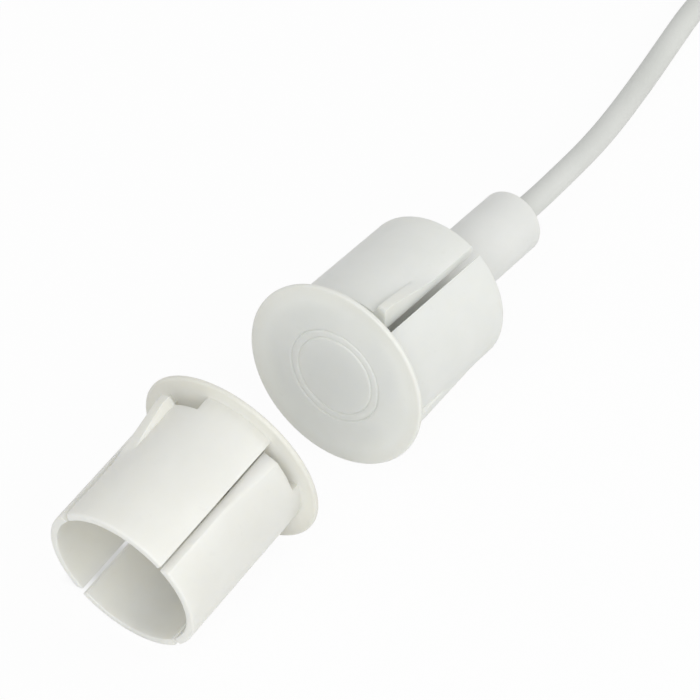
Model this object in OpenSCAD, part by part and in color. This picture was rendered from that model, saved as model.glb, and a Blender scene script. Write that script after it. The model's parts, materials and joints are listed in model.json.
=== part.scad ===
// Recessed magnetic contact: a wired reed half and its magnet half, lying face to face.
// Each half is a flanged, split push-in bush. Heights along a half's own axis are called s:
// s = 0 is the middle of its front face, and s grows towards its open rear.

/* [Bush] */
// Diameter of the bush body, the size of the hole it is pushed into
body_d = 20; // [18:0.5:24]
// Thickness of the body wall
wall = 1; // [0.8:0.1:1.4]
// Length from the front face to the open rear rim
bush_len = 21.2; // [19:0.2:26]
// Diameter of the flange that stays outside the hole
flange_d = 24.4; // [24:0.2:28]
// Thickness of the flange and of the closed front
flange_t = 0.8; // [0.8:0.1:1.4]
// Rounding of the flange edge and of the rear rim
edge_round = 0.3; // [0.2:0.05:0.35]
// Outer diameter of the outer ring on the front face
outer_ring_d = 13.2; // [12:0.2:16]
// Outer diameter of the inner ring on the front face
inner_ring_d = 10.6; // [8:0.2:11]
// Width of each ring groove
groove_w = 0.24; // [0.1:0.02:0.4]
// Depth of each ring groove
groove_depth = 0.14; // [0.05:0.01:0.3]

/* [Fingers] */
// Width of the four slots in the body
slot_w = 0.7; // [0.5:0.1:1.2]
// Slant of the finger edge beside each slot, in degrees from radial
facet_slant = 35; // [15:1:40]
// Angle of the window that frees each finger from the flange
window_span = 35.5; // [28:0.5:40]
// Height of the window behind a barbed finger
window_h = 2; // [1.4:0.1:2.6]
// Height of the window behind the plain finger
plain_window_h = 1; // [0.8:0.1:1.3]
// Angle from a slot to the far side of its barb
barb_span = 15.5; // [13:0.5:20]
// How far a barb stands out of the body on its side away from the slot
barb_h = 1.2; // [0.8:0.1:1.4]
// Length of a barb's level crest
barb_crest = 1.4; // [0.8:0.1:2]
// Length of the ramp behind the crest
barb_len = 6; // [4:0.2:8]
// Angle from a slot to where its barb's outer face looks
barb_face = 28; // [20:1:32]
// Width of the plain finger's facet at its front end
plain_facet_w = 1.9; // [1.2:0.1:2.2]
// Distance from the front face to where that facet runs out
plain_facet_reach = 11; // [8:0.5:14]

/* [Collar] */
// Height of the collar that grips the capsule or the magnet
collar_h = 5; // [3:0.5:8]
// Thickness of the collar wall
collar_wall = 0.9; // [0.7:0.1:1.4]
// Gap between the collar and what it holds
collar_gap = 0.1; // [0.05:0.05:0.2]

/* [Capsule] */
// Outer diameter of the sensor capsule
capsule_d = 8.5; // [7.5:0.1:9.5]
// Wall of the capsule
capsule_wall = 0.7; // [0.5:0.1:1]
// Distance from the front face of the flange to the end of the capsule
capsule_reach = 38.5; // [34:0.5:44]
// Depth of the potting below the capsule's rear rim
potting_recess = 0.4; // [0.2:0.1:1]
// Diameter of the reed switch's glass
glass_d = 2.2; // [1.8:0.1:2.8]
// Length of the reed switch's glass
glass_len = 14; // [12:0.5:16]
// Wall of the glass
glass_wall = 0.3; // [0.2:0.05:0.35]
// Distance from the capsule's floor to the glass
glass_inset = 2.8; // [2.6:0.1:4]
// Length of the lead in front of the glass
front_lead_len = 1.6; // [1.2:0.1:1.7]
// Length of the lead behind the glass
rear_lead_len = 5; // [3:0.5:8]
// Diameter of the reed leads
blade_d = 0.5; // [0.4:0.05:0.6]
// Overlap of the two blades inside the glass
blade_overlap = 1.2; // [0.8:0.1:2]
// Gap between the open blades
blade_gap = 0.12; // [0.08:0.02:0.2]

/* [Magnet] */
// Diameter of the magnet
magnet_d = 8.5; // [7.5:0.1:9.5]
// Length of the magnet
magnet_len = 7; // [5:0.5:9]

/* [Pair] */
// Gap between the two front faces
face_gap = 16.3; // [12:0.1:24]
// Sideways step from the contact half's axis to the magnet half
side_step = 2.7; // [0:0.1:6]
// Turn of the magnet half away from facing straight back, in degrees
magnet_yaw = -2; // [-6:0.5:6]
// Roll of the contact half about its own axis, in degrees
contact_roll = 42.3; // [38:0.1:46]
// Roll of the magnet half about its own axis, in degrees
magnet_roll = 37.7; // [34:0.1:41]

/* [Cable] */
// Diameter of the cable
cable_d = 3.2; // [3:0.1:3.4]
// Radius of the cable's innermost fold in the hank
hank_fold_r = 9.6; // [9.6:0.1:11]
// Length of the hank's straight runs between its folds
hank_run = 20; // [16:1:26]
// Cable widths across each side of the hank
hank_across = 3; // [2:1:3]
// Layers of cable in the hank
hank_layers = 6; // [4:1:6]
// Thickness of the tie that the hank lies on
tie_t = 0.3; // [0.2:0.05:0.5]
// Length of a bared core
core_len = 14; // [10:1:20]
// Diameter of a core
core_d = 1.1; // [0.9:0.1:1.2]
// Length of bare copper on a core
tip_len = 5; // [3:0.5:8]
// Diameter of the copper in a core
copper_d = 0.5; // [0.4:0.05:0.6]
// Angle between neighbouring cores, seen from above
core_fan = 10; // [6:1:14]

/* [Hidden] */
$fn = 96;
over = 1;

body_r = body_d / 2;
bore_r = body_r - wall;
flange_r = flange_d / 2;
capsule_r = capsule_d / 2;
capsule_bore_r = capsule_r - capsule_wall;
glass_r = glass_d / 2;
blade_r = blade_d / 2;
cable_r = cable_d / 2;
plain_finger = 3;
slot_angles = [0, 90, 180, 270];

// A half lies on the flange edge and on the rear rim, so its axis leans by this angle.
lean = atan((flange_r - body_r) / (bush_len - flange_t));
axis_height = edge_round + (flange_t - edge_round) * sin(lean) + (flange_r - edge_round) * cos(lean);

// The pair's own box, without the cable, is centred on the origin.
contact_reach_x = capsule_reach * cos(lean) + capsule_r * sin(lean);
magnet_reach_x = bush_len * cos(lean) + (body_r - edge_round) * sin(lean);
contact_x = (face_gap + magnet_reach_x - contact_reach_x) / 2;
contact_y = -side_step / 2;
magnet_x = contact_x - face_gap;
magnet_y = side_step / 2;

potting_s = capsule_reach - potting_recess;
glass_s = flange_t + capsule_wall + glass_inset;
glass_mid_s = glass_s + glass_len / 2;
lead_offset = (capsule_bore_r + glass_r) / 2;
front_lead_s = glass_s - front_lead_len;
rear_blade_end_s = glass_s + glass_len + rear_lead_len;

function contact_point(s) = [contact_x + s * cos(lean), contact_y, axis_height - s * sin(lean)];

// The cable's own route: out of the potting along the axis, then down to the surface.
cable_straight = 6.4;
CABLE_ROUTE = [
    contact_point(potting_s), contact_point(potting_s + cable_straight),
    [50, -0.9, 6.5], [56, -0.3, 5.5], [62, 0.6, 4.4], [68, 1.7, 3.4], [74, 2.9, 2.5], [80, 4, 1.9],
    [86, 5, cable_r], [92, 5.8, cable_r], [98, 6.5, cable_r], [101, 6.95, cable_r], [104.8, 8.4, 1.7]
];
hank_centre = [133, 4.4];
TAIL_ROUTE = [
    [139.5, 23.8, 13.6], [145, 23.7, 10.6], [150.3, 22.4, 7.9], [155.5, 19.3, 5.2], [159.4, 15, 3],
    [161.7, 10.5, 1.9], [162.7, 6.1, cable_r], [163.2, 1.6, cable_r]
];

// A tube swept along a route, with flat ends square to the route.
tube_sides = 8;
function unit(v) = v / norm(v);
function tangent(route, i) =
    unit(route[min(i + 1, len(route) - 1)] - route[max(i - 1, 0)]);
function tube_ring(centre, along, r) =
    let (side = unit(cross(along, [0, 0, 1])), up = cross(side, along))
    [for (k = [0 : tube_sides - 1])
        let (a = 360 * (k + 0.5) / tube_sides) centre + r * (cos(a) * side + sin(a) * up)];

module swept_tube(route, r) {
    rings = [for (i = [0 : len(route) - 1]) each tube_ring(route[i], tangent(route, i), r)];
    last = (len(route) - 1) * tube_sides;
    sides = [for (i = [0 : len(route) - 2], k = [0 : tube_sides - 1])
        let (a = i * tube_sides + k, b = i * tube_sides + (k + 1) % tube_sides)
        each [[a, b, b + tube_sides], [a, b + tube_sides, a + tube_sides]]];
    ends = [[for (k = [tube_sides - 1 : -1 : 0]) k], [for (k = [0 : tube_sides - 1]) last + k]];
    polyhedron(points = rings, faces = concat(sides, ends));
}

// Places a piece modelled along its own axis, with its front face at s = 0.
module on_contact_axis() {
    translate([contact_x, contact_y, axis_height])
        rotate([0, 90 + lean, 0])
            rotate([0, 0, 180 + contact_roll])
                children();
}

module on_magnet_axis() {
    translate([magnet_x, magnet_y, axis_height])
        rotate([0, 0, 180 + magnet_yaw])
            rotate([0, 90 + lean, 0])
                rotate([0, 0, 180 + magnet_roll])
                    children();
}

// Quarter of a circle for the rounded edges, as profile points.
function arc(centre, r, from, to, steps = 6) =
    [for (i = [0 : steps]) let (a = from + (to - from) * i / steps) centre + r * [cos(a), sin(a)]];

// Half section of the flange, the closed front and the body wall.
module bush_profile() {
    polygon(concat(
        [[0, 0]],
        arc([flange_r - edge_round, edge_round], edge_round, -90, 0),
        arc([flange_r - edge_round, flange_t - edge_round], edge_round, 0, 90),
        [[body_r, flange_t]],
        arc([body_r - edge_round, bush_len - edge_round], edge_round, 0, 90),
        [[bore_r, bush_len - edge_round / 2], [bore_r, flange_t], [0, flange_t]]
    ));
}

module ring_groove(d) {
    rotate_extrude()
        translate([d / 2 - groove_w, -over])
            square([groove_w, over + groove_depth]);
}

// Slot with the slanted finger edge on one side, as a straight cutter from the flange to the rim.
module slot_cutter() {
    far = body_r + barb_h + over;
    lean_out = (far - bore_r) * tan(facet_slant);
    translate([0, 0, flange_t])
        linear_extrude(height = bush_len)
            polygon([
                [bore_r - over, -slot_w / 2], [bore_r, -slot_w / 2], [far, -slot_w / 2 - lean_out],
                [far, slot_w / 2], [bore_r - over, slot_w / 2]
            ]);
}

module window_cutter(height) {
    rotate([0, 0, -window_span])
        rotate_extrude(angle = window_span)
            translate([bore_r - over / 2, flange_t])
                square([flange_r - bore_r + over, height]);
}

// A barb stands out at the window and slopes back to the body towards the rear. Its outer face is
// flat and turned away from the slot, so it is higher beside the slot.
module barb() {
    front_s = flange_t + window_h;
    crest_x = (body_r + barb_h) * cos(barb_face - barb_span);
    drop = barb_h * cos(barb_face - barb_span) / barb_len;
    root_x = (body_r - wall) * cos(barb_face);
    ramp_s = front_s + barb_crest;
    tail_s = ramp_s + (crest_x - root_x) / drop;
    intersection() {
        rotate([0, 0, -barb_span])
            rotate_extrude(angle = barb_span)
                translate([body_r - wall / 2, front_s])
                    square([wall / 2 + flange_r - body_r, tail_s - front_s]);
        rotate([90, 0, -barb_face])
            linear_extrude(height = body_d, center = true)
                polygon([
                    [0, front_s], [crest_x, front_s], [crest_x, ramp_s], [root_x, tail_s], [0, tail_s]
                ]);
    }
}

// Flat facet beside the plain finger's slot: full at the front end, running out towards the rear.
module plain_facet_cutter() {
    front = [bore_r, -slot_w / 2, flange_t + plain_window_h];
    corner = [sqrt(body_r * body_r - plain_facet_w * plain_facet_w), -plain_facet_w, front.z];
    rear_y = -slot_w / 2 - wall * tan(facet_slant);
    rear = [sqrt(body_r * body_r - rear_y * rear_y), rear_y, plain_facet_reach];
    across = cross(corner - front, rear - front);
    out = across.x > 0 ? across : -across;
    translate(front)
        rotate([0, acos(out.z / norm(out)), atan2(out.y, out.x)])
            translate([-bush_len, -bush_len, 0])
                cube([2 * bush_len, 2 * bush_len, wall * 2]);
}

module collar() {
    inner_r = capsule_r + collar_gap;
    translate([0, 0, flange_t / 2])
        difference() {
            cylinder(h = collar_h + flange_t / 2, r = inner_r + collar_wall);
            translate([0, 0, flange_t / 2])
                cylinder(h = collar_h + over, r = inner_r);
        }
}

module bush() {
    difference() {
        union() {
            rotate_extrude() bush_profile();
            collar();
            for (k = [0 : 3])
                if (k != plain_finger)
                    rotate([0, 0, slot_angles[k]]) barb();
        }
        for (k = [0 : 3])
            rotate([0, 0, slot_angles[k]]) {
                slot_cutter();
                window_cutter(k == plain_finger ? plain_window_h : window_h);
            }
        rotate([0, 0, slot_angles[plain_finger]])
            intersection() {
                plain_facet_cutter();
                rotate([0, 0, -window_span])
                    rotate_extrude(angle = window_span)
                        translate([bore_r - over / 2, flange_t])
                            square([flange_r - bore_r, bush_len]);
            }
        ring_groove(outer_ring_d);
        ring_groove(inner_ring_d);
    }
}

module contact_bush() {
    color("#e2e3dd") on_contact_axis() bush();
}

module magnet_bush() {
    color("#e4e3db") on_magnet_axis() bush();
}

// Closed tube that stands in the collar, with its nose on the closed front.
module capsule() {
    color("#e4e5e0")
        on_contact_axis()
            rotate_extrude()
                polygon(concat(
                    [[0, flange_t]],
                    arc([capsule_r - edge_round, flange_t + edge_round], edge_round, -90, 0),
                    arc([capsule_r - edge_round, capsule_reach - edge_round], edge_round, 0, 90),
                    [[capsule_bore_r, capsule_reach], [capsule_bore_r, flange_t + capsule_wall],
                     [0, flange_t + capsule_wall]]
                ));
}

// Outer form of the sealed glass, with rounded ends.
module glass_form(inset = 0) {
    r = glass_r - inset;
    end = glass_r * 0.7;
    rotate_extrude()
        polygon(concat(
            [[0, glass_s + inset]],
            arc([r - end + inset, glass_s + end], end - inset, -90, 0),
            arc([r - end + inset, glass_s + glass_len - end], end - inset, 0, 90),
            [[0, glass_s + glass_len - inset]]
        ));
}

// A lead runs in through the end of the glass and ends as a flattened blade.
blade_w = 0.9;
blade_t = 0.22;
blade_root = 2.6;

module front_blade_form() {
    reach = glass_mid_s + blade_overlap / 2;
    translate([0, 0, front_lead_s])
        cylinder(h = glass_s + blade_root - front_lead_s, r = blade_r);
    translate([-blade_t - blade_gap / 2, -blade_w / 2, glass_s + blade_root])
        cube([blade_t, blade_w, reach - glass_s - blade_root]);
}

module rear_blade_form() {
    reach = glass_mid_s - blade_overlap / 2;
    root = glass_s + glass_len - blade_root;
    translate([0, 0, root])
        cylinder(h = rear_blade_end_s - root, r = blade_r);
    translate([blade_gap / 2, -blade_w / 2, reach])
        cube([blade_t, blade_w, root - reach]);
}

module reed_glass() {
    color("#b9d3c4", 0.5)
        on_contact_axis()
            difference() {
                glass_form();
                glass_form(glass_wall);
                translate([0, 0, glass_s - over]) cylinder(h = over + glass_r, r = blade_r);
                translate([0, 0, glass_s + glass_len - glass_r]) cylinder(h = over + glass_r, r = blade_r);
            }
}

module reed_blade_front() {
    color("#a9a9a4") on_contact_axis() front_blade_form();
}

module reed_blade_rear() {
    color("#a9a9a4") on_contact_axis() rear_blade_form();
}

// The front lead comes back past the glass, and the rear lead carries on along the axis.
core_r = core_d / 2;

module front_lead_form() {
    translate([lead_offset, 0, front_lead_s - core_r])
        cylinder(h = potting_s - front_lead_s + core_r - cable_r, r = core_r);
    difference() {
        translate([0, 0, front_lead_s - core_r])
            rotate([0, 90, 0])
                cylinder(h = lead_offset, r = core_r / 2);
        translate([lead_offset, 0, front_lead_s - core_d])
            cylinder(h = core_d * 2, r = core_r);
    }
}

module rear_lead_form() {
    translate([0, 0, rear_blade_end_s])
        cylinder(h = potting_s - rear_blade_end_s - cable_r, r = core_r);
}

module lead_front() {
    color("#ece7d8") on_contact_axis() front_lead_form();
}

module lead_rear() {
    color("#7a4a2c") on_contact_axis() rear_lead_form();
}

// Resin that fills the capsule round the switch and its leads.
module potting() {
    color("#d9d6c8")
        on_contact_axis()
            difference() {
                translate([0, 0, flange_t + capsule_wall])
                    cylinder(h = potting_s - flange_t - capsule_wall, r = capsule_bore_r);
                glass_form();
                front_blade_form();
                rear_blade_form();
                front_lead_form();
                rear_lead_form();
            }
}

module magnet() {
    color("#b4b4b0")
        on_magnet_axis()
            rotate_extrude()
                polygon(concat(
                    [[0, flange_t], [magnet_d / 2 - edge_round, flange_t], [magnet_d / 2, flange_t + edge_round]],
                    [[magnet_d / 2, flange_t + magnet_len - edge_round],
                     [magnet_d / 2 - edge_round, flange_t + magnet_len], [0, flange_t + magnet_len]]
                ));
}

module cable() {
    color("#e0e0da") swept_tube(CABLE_ROUTE, cable_r);
}

// The rest of the cable, folded into a flat hank with round ends.
module hank_outline(fold_r) {
    for (side = [-1, 1])
        translate([side * hank_run / 2, 0]) circle(r = fold_r);
    square([hank_run, 2 * fold_r], center = true);
}

module cable_coil() {
    color("#e0e0da")
        translate([hank_centre.x, hank_centre.y, 0])
            linear_extrude(height = tie_t + hank_layers * cable_d)
                difference() {
                    hank_outline(hank_fold_r + (hank_across - 0.5) * cable_d);
                    hank_outline(hank_fold_r - cable_r);
                }
}

module cable_tail() {
    color("#e0e0da") swept_tube(TAIL_ROUTE, cable_r);
}

// Places core k of four at the cut end of the cable. The four leave it two and two, one pair over
// the other, and fan out sideways, so that they stay above the surface.
core_clear = 0.03;
core_step = core_r + core_clear;
function core_side(k) = k < 2 ? -1 : 1;
function core_is_upper(k) = k == 1 || k == 2;
function core_turn(k) = core_side(k) * core_fan * (core_is_upper(k) ? 0.5 : 1.5);

module at_core(k) {
    end = TAIL_ROUTE[len(TAIL_ROUTE) - 1];
    along = tangent(TAIL_ROUTE, len(TAIL_ROUTE) - 1);
    start = tan(abs(core_turn(k))) * core_r;
    translate(end)
        rotate([0, 0, atan2(along.y, along.x) - 90])
            translate([core_side(k) * core_step, 0, (core_is_upper(k) ? 1 : -1) * core_step])
                rotate([-90, 0, -core_turn(k)])
                    translate([0, 0, start])
                        children();
}

module core(k) {
    at_core(k) cylinder(h = core_len - tip_len, r = core_r);
}

module core_tip(k) {
    at_core(k)
        translate([0, 0, core_len - tip_len])
            cylinder(h = tip_len, d = copper_d);
}

module core_1() { color("#ece7d8") core(0); }
module core_2() { color("#7a4a2c") core(1); }
module core_3() { color("#d9b43a") core(2); }
module core_4() { color("#3f7a45") core(3); }
module tip_1() { color("#b87a4b") core_tip(0); }
module tip_2() { color("#b87a4b") core_tip(1); }
module tip_3() { color("#b87a4b") core_tip(2); }
module tip_4() { color("#b87a4b") core_tip(3); }

contact_bush();
capsule();
potting();
reed_glass();
reed_blade_front();
reed_blade_rear();
lead_front();
lead_rear();
magnet_bush();
magnet();
cable();
cable_coil();
cable_tail();
core_1();
core_2();
core_3();
core_4();
tip_1();
tip_2();
tip_3();
tip_4();
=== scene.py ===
import bpy
import bmesh
import json
import math
from mathutils import Matrix, Vector


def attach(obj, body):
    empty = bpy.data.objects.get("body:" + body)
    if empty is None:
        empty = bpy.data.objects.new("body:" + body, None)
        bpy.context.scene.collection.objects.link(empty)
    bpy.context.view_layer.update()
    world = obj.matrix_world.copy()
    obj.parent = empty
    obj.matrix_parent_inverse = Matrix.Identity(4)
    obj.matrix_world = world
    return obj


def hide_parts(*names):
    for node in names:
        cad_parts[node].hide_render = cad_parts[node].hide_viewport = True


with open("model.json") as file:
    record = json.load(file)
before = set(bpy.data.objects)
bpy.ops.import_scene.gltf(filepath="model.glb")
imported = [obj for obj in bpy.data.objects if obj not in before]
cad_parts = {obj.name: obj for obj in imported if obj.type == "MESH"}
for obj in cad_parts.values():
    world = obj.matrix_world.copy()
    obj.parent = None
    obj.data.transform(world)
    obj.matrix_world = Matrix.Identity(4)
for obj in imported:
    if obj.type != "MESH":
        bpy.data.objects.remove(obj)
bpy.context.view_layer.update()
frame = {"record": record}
mm = 0.001
print("frame loaded")

cameraView = {
    "eye": (-225.38, -197.27, 261.73),  # mm, where the photograph was taken from
    "forward": (0.58634, 0.50182, -0.63591),
    "right": (0.56264, -0.81705, -0.12598),  # the picture's own right, so the roll comes with it
    "lens": 171.43,
}


def placeCamera():
    back = -Vector(cameraView["forward"]).normalized()
    right = Vector(cameraView["right"])
    right = (right - right.dot(back) * back).normalized()
    data = bpy.data.cameras.new("pairCamera")
    data.lens = cameraView["lens"]
    data.sensor_width = 36
    data.clip_start = 0.01
    camera = bpy.data.objects.new("pairCamera", data)
    camera.matrix_world = Matrix.Translation(Vector(cameraView["eye"]) * mm) @ Matrix(
        (right, back.cross(right), back)
    ).transposed().to_4x4()
    bpy.context.scene.collection.objects.link(camera)
    bpy.context.scene.camera = camera


placeCamera()
print("camera placed")


class Wire:  # a socket that can stand in a sum
    def __init__(self, paint, socket):
        self.paint = paint
        self.socket = socket

    def sum(self, operation, a, b):
        return self.paint.add("ShaderNodeMath", {"operation": operation}, {0: a, 1: b})

    def __add__(self, other):
        return self.sum("ADD", self, other)

    def __radd__(self, other):
        return self.sum("ADD", other, self)

    def __sub__(self, other):
        return self.sum("SUBTRACT", self, other)

    def __rsub__(self, other):
        return self.sum("SUBTRACT", other, self)

    def __mul__(self, other):
        return self.sum("MULTIPLY", self, other)

    def __rmul__(self, other):
        return self.sum("MULTIPLY", other, self)


class Paint:  # the nodes of one material, or of the world
    def __init__(self, name, kind="material"):
        inWorld = kind == "world"
        self.owner = bpy.data.worlds.new(name) if inWorld else bpy.data.materials.new(name)
        self.owner.use_nodes = True
        self.tree = self.owner.node_tree
        self.tree.nodes.clear()
        self.output = self.tree.nodes.new("ShaderNodeOutputWorld" if inWorld else "ShaderNodeOutputMaterial")
        self.place = self.add("ShaderNodeTexCoord", out="Object")

    def add(self, kind, settings=None, sockets=None, out=0):
        node = self.tree.nodes.new(kind)
        for name, value in (settings or {}).items():
            setattr(node, name, value)
        for name, value in (sockets or {}).items():
            if isinstance(value, Wire):
                self.tree.links.new(value.socket, node.inputs[name])
            else:
                node.inputs[name].default_value = value
        return Wire(self, node.outputs[out])

    def noise(self, size, detail=3.0, roughness=0.5, distortion=0.0, where=None):
        return self.add("ShaderNodeTexNoise", {}, {
            "Vector": where or self.place, "Scale": 1 / (size * mm), "Detail": detail,
            "Roughness": roughness, "Distortion": distortion}, out="Fac")

    def between(self, share, low, high):  # a colour mixed by a value
        return self.add("ShaderNodeMix", {"data_type": "RGBA"}, {0: share, 6: low, 7: high}, out=2)

    def spread(self, value, low, high):  # a value stretched over 0 to 1
        return self.add("ShaderNodeMapRange", {}, {
            "Value": value, "From Min": low, "From Max": high, "To Min": 0.0, "To Max": 1.0})

    def bump(self, height, depth, strength=1.0):
        return self.add("ShaderNodeBump", {}, {
            "Height": height, "Distance": depth * mm, "Strength": strength})

    def along(self, direction):  # how far a place lies in a direction, in metres
        return self.add("ShaderNodeVectorMath", {"operation": "DOT_PRODUCT"}, {
            0: self.place, 1: direction}, out="Value")

    def seenDirectly(self):  # 1 for the camera and for mirrored or refracted views of it
        sight = self.add("ShaderNodeLightPath", out="Is Camera Ray")
        mirrored = self.add("ShaderNodeLightPath", out="Is Glossy Ray")
        refracted = self.add("ShaderNodeLightPath", out="Is Transmission Ray")
        return self.add("ShaderNodeClamp", {}, {"Value": sight + mirrored + refracted})

    def finish(self, shader):
        self.tree.links.new(shader.socket, self.output.inputs["Surface"])
        return self.owner

    def surface(self, **sockets):
        named = {name.replace("_", " "): value for name, value in sockets.items()}
        return self.finish(self.add("ShaderNodeBsdfPrincipled", {}, named))


def rgba(red, green, blue):
    return (red, green, blue, 1.0)


# each tone's rim is how much painted shade its flange rim gets
mouldedWhite = {
    "contact": {"base": (0.808, 0.811, 0.765), "shade": (0.786, 0.792, 0.743), "clear": 0.45, "depth": 2.8,
                "half": "contact_body", "rim": 0.4},
    "magnet": {"base": (0.808, 0.799, 0.743), "shade": (0.788, 0.778, 0.720), "clear": 0.5, "depth": 2.8,
               "half": "magnet_body", "rim": 0.8},
    "capsule": {"base": (0.812, 0.812, 0.772), "shade": (0.788, 0.790, 0.750), "clear": 0.2, "depth": 2.5,
                "half": "contact_body", "rim": 0.0},
    "rimPaintedShade": (0.700, 0.683, 0.605), "rimFrom": 10.2, "rimTo": 12.0,  # mm from the axis, where the flange rim gets its painted shade
    "roughness": (0.36, 0.46),
}


def mouldedPlastic(name, tone):
    p = Paint(name)
    cloud = p.noise(6.0, 3.0, 0.55, 0.4)  # slow flow marks of the moulding
    grain = p.noise(0.35, 2.0, 0.5)
    speck = p.spread(p.noise(0.9, 1.0, 0.3), 0.70, 0.78)  # a few dull specks of handling
    colour = p.between(p.spread(cloud, 0.35, 0.65), rgba(*tone["base"]), rgba(*tone["shade"]))
    colour = p.between(speck * 0.05, colour, rgba(0.52, 0.50, 0.45))
    mount = next(m for m in frame["record"]["mounts"] if m["name"] == tone["half"])
    off = p.add("ShaderNodeVectorMath", {"operation": "SUBTRACT"}, {0: p.place, 1: mount["pos_m"]})
    across = p.add("ShaderNodeVectorMath", {"operation": "CROSS_PRODUCT"}, {0: off, 1: mount["axis"]})
    fromAxis = p.add("ShaderNodeVectorMath", {"operation": "LENGTH"}, {0: across}, out="Value")
    rim = p.spread(fromAxis, mouldedWhite["rimFrom"] * mm, mouldedWhite["rimTo"] * mm)
    colour = p.between(rim * tone["rim"], colour, rgba(*mouldedWhite["rimPaintedShade"]))  # painted shade: the thin flange rim is darkened to stand in for the light it loses
    low, high = mouldedWhite["roughness"]
    rough = low + (high - low) * p.spread(grain + cloud * 0.5, 0.5, 1.0)
    return p.surface(
        Base_Color=colour, Roughness=rough, IOR=1.5,
        Subsurface_Weight=tone["clear"], Subsurface_Radius=(1.0, 0.92, 0.75), Subsurface_Scale=tone["depth"] * mm,
        Normal=p.bump(grain * 0.6 + cloud * 0.8, 0.012, 0.5))


def sheathPlastic(name, base, shade):
    p = Paint(name)
    grain = p.noise(0.22, 3.0, 0.6)
    cloud = p.noise(9.0, 2.0, 0.5)
    colour = p.between(p.spread(cloud + grain * 0.3, 0.45, 0.85), rgba(*base), rgba(*shade))
    rough = 0.42 + 0.16 * p.spread(grain, 0.3, 0.7)
    return p.surface(Base_Color=colour, Roughness=rough, IOR=1.5, Normal=p.bump(grain, 0.02, 0.5))


def castResin(name):
    p = Paint(name)
    cloud = p.noise(1.6, 4.0, 0.6, 0.6)
    bubble = p.add("ShaderNodeTexVoronoi", {"feature": "F1"}, {"Vector": p.place, "Scale": 1400.0}, out="Distance")
    pit = p.spread(bubble, 0.16, 0.08)
    colour = p.between(p.spread(cloud, 0.3, 0.7), rgba(0.66, 0.63, 0.53), rgba(0.72, 0.70, 0.62))
    return p.surface(
        Base_Color=p.between(pit * 0.3, colour, rgba(0.45, 0.41, 0.32)),
        Roughness=0.22 + 0.25 * p.spread(cloud, 0.3, 0.7), IOR=1.53,
        Normal=p.bump(cloud - pit * 0.5, 0.05, 0.6))


def sealedGlass(name):
    p = Paint(name)
    cloud = p.noise(2.5, 2.0, 0.5)
    colour = p.between(p.spread(cloud, 0.3, 0.7), rgba(0.62, 0.80, 0.70), rgba(0.70, 0.86, 0.77))
    return p.surface(
        Base_Color=colour, Roughness=0.03 + 0.05 * cloud, IOR=1.5, Alpha=0.45,
        Normal=p.bump(cloud, 0.02, 0.3))


def platedMetal(name, base, dull, grainSize):
    p = Paint(name)
    grain = p.noise(grainSize, 4.0, 0.65)
    cloud = p.noise(2.4, 3.0, 0.5)
    scratch = p.add("ShaderNodeMapping", {}, {"Vector": p.place, "Scale": (1.0, 9.0, 3.0)})
    lines = p.spread(p.noise(1.6, 5.0, 0.8, 0.2, scratch), 0.45, 0.62)
    colour = p.between(p.spread(cloud, 0.35, 0.70) * 0.7, rgba(*base), rgba(*dull))
    rough = 0.20 + 0.14 * lines + 0.10 * p.spread(grain, 0.3, 0.7)
    return p.surface(
        Base_Color=colour, Metallic=1.0, Roughness=rough,
        Normal=p.bump(grain * 0.5 + lines * 0.5, 0.008, 0.5))


contactWhite = mouldedPlastic("contactWhite", mouldedWhite["contact"])
magnetWhite = mouldedPlastic("magnetWhite", mouldedWhite["magnet"])
capsuleWhite = mouldedPlastic("capsuleWhite", mouldedWhite["capsule"])
tieWhite = sheathPlastic("tieWhite", (0.80, 0.80, 0.77), (0.76, 0.76, 0.73))
cableWhite = sheathPlastic("cableWhite", (0.700, 0.705, 0.672), (0.664, 0.671, 0.637))
pottingResin = castResin("pottingResin")
reedGlass = sealedGlass("reedGlass")
bladeNickel = platedMetal("bladeNickel", (0.66, 0.65, 0.62), (0.50, 0.49, 0.46), 0.12)
magnetNickel = platedMetal("magnetNickel", (0.70, 0.69, 0.66), (0.55, 0.54, 0.51), 0.18)
copperBare = platedMetal("copperBare", (0.80, 0.44, 0.28), (0.55, 0.26, 0.15), 0.10)
coreColours = {
    "core_1": sheathPlastic("coreWhite", (0.80, 0.78, 0.70), (0.74, 0.72, 0.64)),
    "core_2": sheathPlastic("coreBrown", (0.150, 0.060, 0.028), (0.110, 0.042, 0.020)),
    "core_3": sheathPlastic("coreYellow", (0.72, 0.50, 0.06), (0.62, 0.42, 0.05)),
    "core_4": sheathPlastic("coreGreen", (0.055, 0.230, 0.075), (0.040, 0.170, 0.055)),
}
print("materials made")


def keepSharp(work, degrees):  # smooth faces, with real edges kept crisp
    limit = math.radians(degrees)
    for face in work.faces:
        face.smooth = True
    for edge in work.edges:
        if len(edge.link_faces) == 2:
            edge.smooth = edge.calc_face_angle(0.0) < limit
        else:
            edge.smooth = False


def pieceFrom(work, name, material, replaced, matrix=None, sharp=38):
    bmesh.ops.remove_doubles(work, verts=work.verts, dist=1e-5)
    bmesh.ops.dissolve_degenerate(work, edges=work.edges, dist=1e-6)
    bmesh.ops.recalc_face_normals(work, faces=work.faces)
    work.transform(Matrix.Scale(mm, 4))
    if matrix is not None:
        work.transform(matrix)
    keepSharp(work, sharp)
    mesh = bpy.data.meshes.new(name)
    work.to_mesh(mesh)
    work.free()
    mesh.materials.append(material)
    piece = bpy.data.objects.new(name, mesh)
    bpy.context.scene.collection.objects.link(piece)
    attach(piece, "root")
    if replaced:
        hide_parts(*replaced)
    return piece


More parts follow.
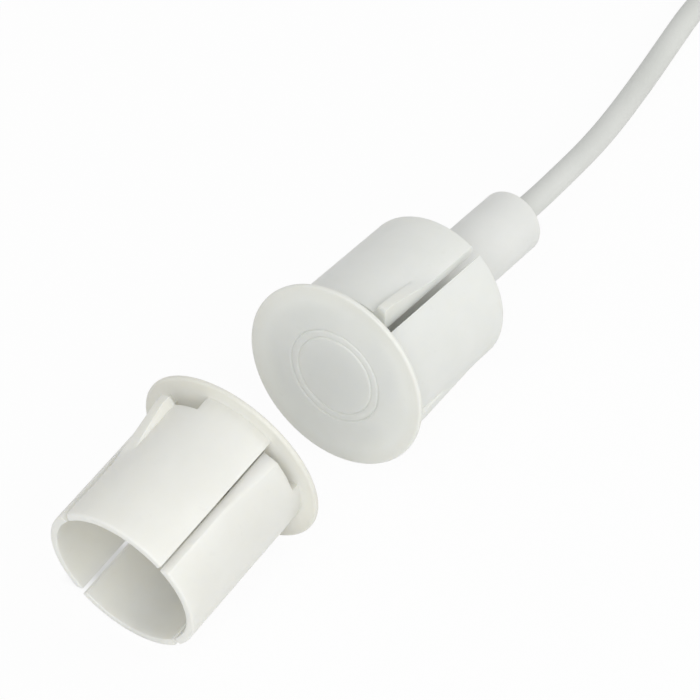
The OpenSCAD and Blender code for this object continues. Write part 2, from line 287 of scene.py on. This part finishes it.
def fused(works):  # one closed mesh out of several that overlap
    holders = []
    for work in works:
        bmesh.ops.recalc_face_normals(work, faces=work.faces)
        mesh = bpy.data.meshes.new("part")
        work.to_mesh(mesh)
        work.free()
        holders.append(bpy.data.objects.new("part", mesh))
        bpy.context.scene.collection.objects.link(holders[-1])
    for other in holders[1:]:
        union = holders[0].modifiers.new("union", "BOOLEAN")
        union.operation, union.solver, union.object = "UNION", "EXACT", other
    whole = bmesh.new()
    whole.from_mesh(holders[0].evaluated_get(bpy.context.evaluated_depsgraph_get()).to_mesh())
    for holder in holders:
        mesh = holder.data
        bpy.data.objects.remove(holder)
        bpy.data.meshes.remove(mesh)
    return whole


def revolve(work, profile, steps=144):  # profile points are (radius, s) in mm
    rings = []
    for radius, s in profile:
        if radius < 1e-6:
            rings.append([work.verts.new((0, 0, s))])
        else:
            rings.append([
                work.verts.new((radius * math.cos(a), radius * math.sin(a), s))
                for a in (2 * math.pi * k / steps for k in range(steps))])
    for first, second in zip(rings, rings[1:]):
        for k in range(steps):
            after = (k + 1) % steps
            corners = [first[k % len(first)], second[k % len(second)]]
            if len(second) > 1:
                corners.append(second[after])
            if len(first) > 1:
                corners.append(first[after])
            if len(corners) > 2:
                work.faces.new(corners)


def arc(centreR, centreS, radius, start, end, steps=5):
    turns = [math.radians(start + (end - start) * k / steps) for k in range(steps + 1)]
    return [(centreR + radius * math.cos(a), centreS + radius * math.sin(a)) for a in turns]


def halfPlace(mountName, roll, mountS):  # a half's own axes, from the mount on its body
    mount = next(m for m in frame["record"]["mounts"] if m["name"] == mountName)
    axis = Vector(mount["axis"]).normalized()
    origin = Vector(mount["pos_m"]) - axis * mountS * mm
    up = (Vector((0, 0, 1)) - axis.z * axis).normalized()
    side = axis.cross(up)
    x = math.cos(math.radians(roll)) * up + math.sin(math.radians(roll)) * side
    y = axis.cross(x)
    return Matrix.Translation(origin) @ Matrix((x, y, axis)).transposed().to_4x4()


cableRun = {
    "diameter": 3.2,
    "route": [  # mm, from the resin to where the hank begins
        (37.722, -1.35, 8.100), (44.086, -1.35, 7.414),
        (50, -0.9, 6.5), (56, -0.3, 5.5), (62, 0.6, 4.4), (68, 1.7, 3.4), (74, 2.9, 2.5), (80, 4, 1.9),
        (86, 5, 1.6), (92, 5.8, 1.6), (98, 6.5, 1.6), (103, 8.1, 1.65), (108, 11.1, 1.8), (112, 15.0, 1.9)],
    "tail": [
        (129, 20.6, 17.9), (134, 22.6, 17.2), (139.5, 23.8, 13.6), (145, 23.7, 10.6), (150.3, 22.4, 7.9),
        (155.5, 19.3, 5.2), (159.4, 15, 3), (161.7, 10.5, 1.9), (162.7, 6.1, 1.6), (163.2, 1.6, 1.6)],
    "length": 2.0,  # metres
}
# The hank is wound clockwise. Its phase counts quarter turns: run, fold, run back, fold.
hank = {
    "foldCentres": ((123, 4.4), (143, 4.4)), "outerFold": 16.0, "pitch": 3.2, "lowest": 1.9,
    "begins": 3.861, "ends": 64.0,
    "inward": (7.11, 11.11, 27.11, 31.11, 47.11, 51.11),  # phases where it steps in by one cable
    "outward": (17.1, 21.1, 37.1, 41.1, 57.1, 61.1),
    "upward": (14.05, 24.05, 34.05, 44.05, 54.05),
    "stepIn": 0.33, "stepOut": 0.8, "stepUp": 0.9,  # how long each step takes
    "tieX": 125.6, "tieWidth": 3.0, "tieThick": 0.3, "cornerR": 3.0,
}


def eased(share):
    share = min(1.0, max(0.0, share))
    return share * share * (3 - 2 * share)


def hankPoint(phase):
    h = hank
    ring = (sum(eased((phase - start) / h["stepIn"]) for start in h["inward"])
            - sum(eased((phase - start) / h["stepOut"]) for start in h["outward"]))
    layer = sum(eased((phase - start) / h["stepUp"]) for start in h["upward"])
    radius = h["outerFold"] - h["pitch"] * ring
    z = h["lowest"] + h["pitch"] * layer
    (leftX, middleY), (rightX, _) = h["foldCentres"]
    part, share = int(phase) % 4, phase % 1
    if part == 0:
        return Vector((leftX + (rightX - leftX) * share, middleY + radius, z))
    if part == 2:
        return Vector((rightX - (rightX - leftX) * share, middleY - radius, z))
    turn = math.radians(90 - 180 * share if part == 1 else 270 - 180 * share)
    centreX = rightX if part == 1 else leftX
    return Vector((centreX + radius * math.cos(turn), middleY + radius * math.sin(turn), z))


def hankPoints():
    phases = [hank["begins"]]
    step = int(hank["begins"]) + 1
    while step < hank["ends"]:
        count = 3 if step % 2 == 0 else 8  # points on a run, and on a fold
        phases += [step + k / count for k in range(count)]
        step += 1
    phases.append(hank["ends"])
    return [hankPoint(phase) for phase in phases]


def makeTie(reach, top):  # a thin strip round the whole hank
    h = hank
    (leftX, middleY), _ = h["foldCentres"]
    corner, thick = h["cornerR"], h["tieThick"]
    centres = [(middleY + reach - corner, top - corner, 0), (middleY - reach + corner, top - corner, 90),
               (middleY - reach + corner, corner + thick, 180), (middleY + reach - corner, corner + thick, 270)]
    work = bmesh.new()
    rows = []
    for y, z, start in centres:
        for k in range(7):
            turn = math.radians(start + 15 * k)
            row = []
            for radius, x in ((corner, -0.5), (corner, 0.5), (corner + thick, 0.5), (corner + thick, -0.5)):
                row.append(work.verts.new((
                    h["tieX"] + x * h["tieWidth"], y + radius * math.cos(turn), z + radius * math.sin(turn))))
            rows.append(row)
    for first, second in zip(rows, rows[1:] + rows[:1]):
        for k in range(4):
            work.faces.new([first[k], first[(k + 1) % 4], second[(k + 1) % 4], second[k]])
    return pieceFrom(work, "cableTie", tieWhite, [])


def makeCable():
    wound = hankPoints()
    points = [Vector(p) for p in cableRun["route"]] + wound + [Vector(p) for p in cableRun["tail"]]
    curve = bpy.data.curves.new("cableLead", "CURVE")
    curve.dimensions = "3D"
    curve.bevel_depth = cableRun["diameter"] / 2 * mm
    curve.bevel_resolution = 5
    curve.resolution_u = 6
    curve.use_fill_caps = True
    spline = curve.splines.new("BEZIER")
    spline.bezier_points.add(len(points) - 1)
    for knot, point in zip(spline.bezier_points, points):
        knot.co = point * mm
        knot.handle_left_type = knot.handle_right_type = "AUTO"
    curve.materials.append(cableWhite)
    lead = bpy.data.objects.new("cableLead", curve)
    bpy.context.scene.collection.objects.link(lead)
    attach(lead, "root")
    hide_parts("cable", "cable_coil", "cable_tail")
    half = cableRun["diameter"] / 2
    tie = makeTie(hank["outerFold"] + half, wound[-1].z + half)
    return lead


makeCable()
print("cable made")

bushShape = {
    "bodyR": 10.0, "boreR": 9.0, "length": 21.2,
    "flangeR": 12.1, "flangeT": 0.8, "face": 0.12, "round": 0.3,
    "ringDs": (12.6, 10.6), "grooveW": 0.24, "grooveDepth": 0.14,
    "slotW": 0.7, "slant": 35, "windowSpan": 35.5, "windowH": 2.0, "plainWindowH": 1.0,
    "barbSpan": 15.5, "barbHs": (1.2, 0.45, 0.45, 0), "barbCrest": 1.4, "barbLen": 6.0, "barbFace": 28,
    "facetW": 1.9, "facetReach": 11.0, "facetSlot": 0.1,  # the plain finger's own facet, which nearly fills the slot
    "collarR": 4.35, "collarWall": 0.9, "collarH": 5.0,
    "edge": 0.12, "sideWall": 0.08,  # how softly the small edges are moulded
    "mountAt": 10.85,  # the mount's place along the body, from the front face
}


def flangeProfile():
    b = bushShape
    inner, support = b["flangeR"] - b["round"], b["flangeR"] - b["round"] - 0.3
    profile = [(0, b["face"])]
    for diameter in sorted(b["ringDs"]):
        outside, inside = diameter / 2, diameter / 2 - b["grooveW"]
        middle, depth = (outside + inside) / 2, b["face"] + b["grooveDepth"]
        profile += [(inside - 0.25, b["face"]), (inside - 0.05, b["face"]), (inside + 0.03, b["face"] + 0.05),
                    (middle - 0.03, depth), (middle + 0.03, depth), (outside - 0.03, b["face"] + 0.05),
                    (outside + 0.05, b["face"]), (outside + 0.25, b["face"])]
    profile.append((support, b["face"]))
    profile += arc(inner, b["face"] + b["round"], b["round"], -90, 0)
    profile += arc(inner, b["flangeT"] - b["round"], b["round"], 0, 90)
    return profile + [(support, b["flangeT"]), (0, b["flangeT"])]


def collarProfile():
    b = bushShape
    inner, outer, top = b["collarR"], b["collarR"] + b["collarWall"], b["flangeT"] + b["collarH"]
    profile = [(outer + 0.25, b["flangeT"] - 0.05), (outer + 0.06, b["flangeT"] + 0.08), (outer, b["flangeT"] + 0.3)]
    profile += arc(outer - 0.15, top - 0.15, 0.15, 0, 90, 3) + arc(inner + 0.15, top - 0.15, 0.15, 90, 180, 3)
    return profile + [(inner, b["flangeT"] - 0.05), profile[0]]


def facetPoint(radius, slotHalf=bushShape["slotW"] / 2):  # where the slanted edge meets a radius, from the slot
    b = bushShape
    steep = math.tan(math.radians(b["slant"]))
    a = 1 + steep * steep
    rise = slotHalf - b["boreR"] * steep
    x = (-steep * rise + math.sqrt(steep * steep * rise * rise - a * (rise * rise - radius * radius))) / a
    return math.degrees(math.atan2(-(rise + steep * x), x))


def barbRadius(angle, s, height):  # the barb's flat outer face, at an angle from its slot
    b = bushShape
    tilt = math.radians(b["barbFace"] - b["barbSpan"])
    crestX = (b["bodyR"] + height) * math.cos(tilt)
    drop = height * math.cos(tilt) / b["barbLen"]
    behind = max(0.0, s - b["flangeT"] - b["windowH"] - b["barbCrest"])
    return max(b["bodyR"], (crestX - drop * behind) / math.cos(math.radians(angle + b["barbFace"])))


def plainFacet(s):  # outer and inner ends of the plain finger's facet, in the slot's own frame
    b = bushShape
    steep = math.tan(math.radians(b["slant"]))
    front = Vector((b["boreR"], -b["facetSlot"]))
    corner = Vector((math.sqrt(b["bodyR"] ** 2 - b["facetW"] ** 2), -b["facetW"]))
    rearY = -b["facetSlot"] - (b["bodyR"] - b["boreR"]) * steep
    rear = Vector((math.sqrt(b["bodyR"] ** 2 - rearY ** 2), rearY))
    frontS = b["flangeT"] + b["plainWindowH"]
    share = min(1.0, (s - frontS) / (b["facetReach"] - frontS))
    base = front + share * (rear - front)
    across = corner - front
    a, half, c = across.dot(across), base.dot(across), base.dot(base) - b["bodyR"] ** 2
    outer = base + (-half + math.sqrt(max(0.0, half * half - a * c))) / a * across
    inner = base - ((base - front).x * steep + (base - front).y) / (across.x * steep + across.y) * across
    return outer, inner


def panelRow(slotStart, slotEnd, outer, inner, openShare, height):
    # One closed row round a panel: outer face, slanted edge, inner face, straight edge.
    b = bushShape
    (outerR, outerS), (innerR, innerS) = outer, inner
    start = slotStart + math.degrees(math.asin(b["slotW"] / 2 / b["bodyR"]))
    windowAt = slotEnd - b["windowSpan"]
    barbAt = slotEnd - b["barbSpan"]
    inset = b["bodyR"] - outerR
    middle = (b["bodyR"] + b["boreR"]) / 2
    step = math.degrees(b["sideWall"] / b["bodyR"])
    points = []

    def at(angle, radius, s):
        share = openShare if angle > windowAt + 0.01 else 1.0
        radius = middle + (radius - middle) * share if share < 1 else radius
        a = math.radians(angle)
        points.append((radius * math.cos(a), radius * math.sin(a), s))

    columns = [start + (windowAt - start) * k / 14 for k in range(15)]
    columns += [windowAt + (barbAt - windowAt) * k / 6 for k in range(1, 7)]
    innerEnd = slotEnd + facetPoint(innerR, b["slotW"] / 2 if height else b["facetSlot"])
    innerColumns = columns + [barbAt + step + (innerEnd - barbAt - step) * k / 4 for k in range(5)]
    for angle in columns:
        at(angle, outerR, outerS)
    if not height:
        outerEnd, innerPart = plainFacet(outerS)
        last = math.degrees(math.atan2(outerEnd.y, outerEnd.x))
        middleAngle, middleR = math.degrees(math.atan2(innerPart.y, innerPart.x)), min(innerPart.length, outerR)
    else:
        last = -b["barbSpan"] / 2
        for _ in range(12):
            last = facetPoint(barbRadius(last, outerS, height) - inset)
        middleR = (barbRadius(last, outerS, height) - inset + innerR) / 2
        middleAngle = facetPoint(middleR)
    for k in range(5):
        angle = step - b["barbSpan"] + (last + b["barbSpan"] - step) * k / 4
        at(slotEnd + angle, barbRadius(angle, outerS, height) - inset if height else outerR, outerS)
    at(slotEnd + middleAngle, middleR, (outerS + innerS) / 2)
    for angle in reversed(innerColumns):
        at(angle, innerR, innerS)
    return points


def loft(rows, work):  # faces between rows of vertices
    for first, second in zip(rows, rows[1:]):
        count = len(first)
        for k in range(count):
            work.faces.new([first[k], first[(k + 1) % count], second[(k + 1) % count], second[k]])


def capRow(work, row, begin=0):  # closes a row between its outer and inner faces
    count = len(row) // 2
    for k in range(begin, count - 1):
        work.faces.new([row[k], row[k + 1], row[len(row) - 2 - k], row[len(row) - 1 - k]])
    if len(row) % 2:
        work.faces.new([row[count - 1], row[count], row[count + 1]])


def makePanel(work, k):  # the panel from slot k - 1 to slot k, whose finger ends beside slot k
    b = bushShape
    height = b["barbHs"][k]
    slotEnd, slotStart = 90 * k, 90 * k - 90
    bodyR, boreR, length = b["bodyR"], b["boreR"], b["length"]
    front = b["flangeT"] + (b["windowH"] if height else b["plainWindowH"])

    def row(outer, inner, openShare=1.0):
        return [work.verts.new(p) for p in panelRow(slotStart, slotEnd, outer, inner, openShare, height)]

    edge = b["edge"]
    stations = [front + edge] + [front + (length - b["round"] - front) * n / 16 for n in range(1, 16)]
    rampAt = front + b["barbCrest"]
    kinks = [rampAt, rampAt + b["barbLen"]] if height else [b["facetReach"]]
    rows = [row((bodyR, s), (boreR, s), 1 - gone) for s, gone in ((front, edge), (front + edge / 3, edge / 3))]
    rows += [row((bodyR, s), (boreR, s)) for s in sorted(set(stations + kinks))]
    rim = arc(bodyR - b["round"], length - b["round"], b["round"], 0, 90, 5)
    innerRim = arc(boreR + 0.15, length - 0.15, 0.15, 180, 90, 5)
    rows += [row(outer, inner) for outer, inner in zip(rim, innerRim)]
    loft(rows, work)
    capRow(work, rows[-1])
    # Behind the flange only the fixed part goes on, so the finger ends at its window.
    fixedCount = 15
    capRow(work, rows[0], fixedCount - 1)
    fixed = rows[0][:fixedCount] + rows[0][-fixedCount:]
    foot = [work.verts.new((v.co.x, v.co.y, b["flangeT"] - 0.2)) for v in fixed]
    loft([foot, fixed], work)
    capRow(work, foot)


def makeBush(name, mountName, roll, material):
    flange, collar, panels = bmesh.new(), bmesh.new(), bmesh.new()
    revolve(flange, flangeProfile(), 192)
    revolve(collar, collarProfile(), 96)
    for k in range(4):
        makePanel(panels, k)
    work = fused([flange, panels, collar])
    return pieceFrom(work, name, material, [name.replace("Bush", "_bush")],
                     halfPlace(mountName, roll, bushShape["mountAt"]))


halfTurns = {"contact": 42.3, "magnet": 37.7}  # degrees that each half is rolled on its axis
contactPlace = halfPlace("contact_body", halfTurns["contact"], bushShape["mountAt"])
makeBush("contactBush", "contact_body", halfTurns["contact"], contactWhite)
makeBush("magnetBush", "magnet_body", halfTurns["magnet"], magnetWhite)
print("bushes made")

capsuleShape = {
    "radius": 4.25, "boreR": 3.55, "nose": 0.8, "floor": 1.5, "reach": 38.5, "round": 0.3, "potting": 38.1,
}


def makeCapsule():
    c = capsuleShape
    profile = [(0, c["nose"])]
    profile += arc(c["radius"] - c["round"], c["nose"] + c["round"], c["round"], -90, 0)
    profile += arc(c["radius"] - c["round"], c["reach"] - c["round"], c["round"], 0, 90)
    profile += arc(c["boreR"] + 0.12, c["reach"] - 0.12, 0.12, 90, 180, 3)
    profile += [(c["boreR"], c["floor"]), (0, c["floor"])]
    work = bmesh.new()
    revolve(work, profile, 128)
    return pieceFrom(work, "capsuleTube", capsuleWhite, ["capsule"], contactPlace)


makeCapsule()
print("capsule made")

cadFinishes = {
    "potting": pottingResin, "reed_glass": reedGlass, "reed_blade_front": bladeNickel,
    "reed_blade_rear": bladeNickel, "lead_front": coreColours["core_1"], "lead_rear": coreColours["core_2"],
    "magnet": magnetNickel, "tip_1": copperBare, "tip_2": copperBare, "tip_3": copperBare, "tip_4": copperBare,
    **coreColours,
}
for nodeName, finish in cadFinishes.items():
    piece = bpy.data.objects[nodeName]
    if not piece.data.materials:
        piece.data.materials.append(finish)
    for holder in piece.material_slots:
        holder.material = finish
print("finishes set")

stageLook = {
    "floorSize": 3.0,  # metres
    "shadow": 0.05,  # share of the floor's own shade that shows in the picture
    "slotShadow": 0.75,  # and the share where it is seen through the magnet half's far slot
    "slotFloor": (-28.2, 13.4), "slotFloorSize": (2.4, 0.8), "slotFloorFade": (3.0, 2.6),  # mm
    "ambient": (0.965, 0.975, 0.985), "ambientStrength": 0.585,
}
lamps = {
    "keyLamp": {"towards": (0.306, -0.795, 0.525), "far": 0.9, "size": 0.55, "watts": 1.45, "colour": (1.0, 0.99, 0.97)},
    "fillLamp": {"towards": (-0.70, -0.52, 0.49), "far": 1.0, "size": 1.5, "watts": 7.1, "colour": (0.97, 0.985, 1.0)},
}


def makeFloor():
    half = stageLook["floorSize"] / 2
    mesh = bpy.data.meshes.new("paperFloor")
    mesh.from_pydata([(-half, -half, 0), (half, -half, 0), (half, half, 0), (-half, half, 0)], [], [(0, 1, 2, 3)])
    p = Paint("paperWhite")
    (x, y), (long, wide) = stageLook["slotFloor"], stageLook["slotFloorSize"]
    longFade, wideFade = stageLook["slotFloorFade"]
    offX = p.add("ShaderNodeMath", {"operation": "ABSOLUTE"}, {0: p.along((1, 0, 0)) - x * mm})
    offY = p.add("ShaderNodeMath", {"operation": "ABSOLUTE"}, {0: p.along((0, 1, 0)) - y * mm})
    under = p.spread(offX, (long + longFade) * mm, long * mm) * p.spread(offY, (wide + wideFade) * mm, wide * mm)
    share = stageLook["shadow"] + (stageLook["slotShadow"] - stageLook["shadow"]) * under
    paper = p.add("ShaderNodeBsdfDiffuse", {}, {"Color": rgba(0.85, 0.85, 0.84)})
    glow = p.add("ShaderNodeEmission", {}, {"Color": rgba(1, 1, 1), "Strength": 1.0})
    mesh.materials.append(p.finish(p.add(
        "ShaderNodeMixShader", {}, {0: p.seenDirectly() * (1 - share), 1: paper, 2: glow})))
    floor = bpy.data.objects.new("paperFloor", mesh)
    bpy.context.scene.collection.objects.link(floor)


def makeWorld():
    p = Paint("softRoom", "world")
    room = p.add("ShaderNodeBackground", {}, {
        "Color": rgba(*stageLook["ambient"]), "Strength": stageLook["ambientStrength"]})
    white = p.add("ShaderNodeBackground", {}, {"Color": rgba(1, 1, 1), "Strength": 1.0})
    bpy.context.scene.world = p.finish(p.add(
        "ShaderNodeMixShader", {}, {0: p.seenDirectly(), 1: room, 2: white}))


def makeLamps():
    target = Vector((0.0, 0.0, 0.010))
    for name, lamp in lamps.items():
        towards = Vector(lamp["towards"]).normalized()
        data = bpy.data.lights.new(name, "AREA")
        data.shape = "DISK"
        data.size = lamp["size"]
        data.energy = lamp["watts"]
        data.color = lamp["colour"]
        light = bpy.data.objects.new(name, data)
        light.matrix_world = Matrix.Translation(target + towards * lamp["far"]) @ towards.to_track_quat(
            "Z", "Y").to_matrix().to_4x4()
        bpy.context.scene.collection.objects.link(light)


makeFloor()
makeWorld()
makeLamps()
bpy.context.scene.view_settings.view_transform = "Standard"
print("stage lit")
